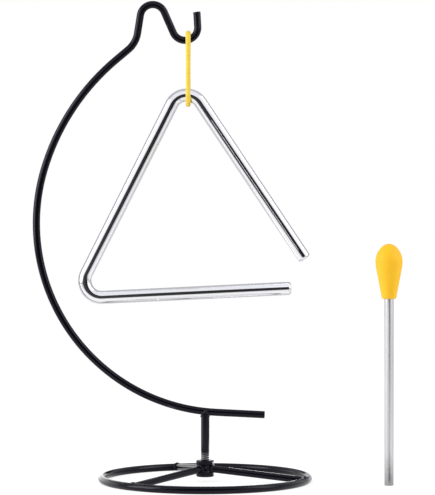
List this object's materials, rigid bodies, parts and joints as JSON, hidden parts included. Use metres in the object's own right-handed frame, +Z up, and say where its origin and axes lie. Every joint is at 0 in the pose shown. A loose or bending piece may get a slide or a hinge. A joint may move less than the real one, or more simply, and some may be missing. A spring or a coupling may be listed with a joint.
{
  "type": "triangle instrument",
  "caption": "Bent steel triangle, open at one corner, hanging from a rubber loop on the hook of a bowed wire stand with a round spoked base, with a gripped beater beside it.",
  "frame": {"origin": "centre of the base ring, on the surface that the stand rests on", "axes": "+Z up, +X from the bow towards the beater, +Y away from the player; the bow, the hook and the triangle lie in the plane Y = 0"},
  "size_m": [0.2641, 0.1536, 0.346],
  "materials": {
    "stand_paint": "satin black paint",
    "loop_rubber": "smooth yellow rubber",
    "bar_chrome": "bright chrome plate",
    "rod_steel": "satin steel",
    "grip_rubber": "satin yellow rubber"
  },
  "bodies": {
    "base": {"base_ring": "stand_paint", "hub": "stand_paint", "spoke_back": "stand_paint", "spoke_left": "stand_paint", "spoke_right": "stand_paint", "ring_weld_back": "stand_paint", "ring_weld_left": "stand_paint", "ring_weld_right": "stand_paint", "hub_weld_back": "stand_paint", "hub_weld_left": "stand_paint", "hub_weld_right": "stand_paint"},
    "arm": {"post": "stand_paint", "post_weld": "stand_paint", "hanger_arm": "stand_paint"},
    "loop": {"hanging_loop": "loop_rubber"},
    "triangle": {"triangle_bar": "bar_chrome"},
    "beater": {"beater_rod": "rod_steel", "beater_grip": "grip_rubber"}
  },
  "joints": [
    {"name": "arm_swivel", "type": "hinge", "parent": "base", "child": "arm", "pos_m": [0, 0, 0.0095], "axis": [0, 0, 1], "range_deg": [-180, 180]},
    {"name": "loop_swing", "type": "hinge", "parent": "arm", "child": "loop", "pos_m": [-0.01221, 0, 0.31793], "axis": [1, 0, 0], "range_deg": [-90, 90]},
    {"name": "triangle_rock", "type": "hinge", "parent": "loop", "child": "triangle", "pos_m": [-0.01334, 0, 0.26619], "axis": [0, 1, 0], "range_deg": [-40, 11]},
    {"name": "beater_lift", "type": "slide", "parent": "base", "child": "beater", "axis": [0, 0, 1], "range_m": [0, 0.15]}
  ]
}
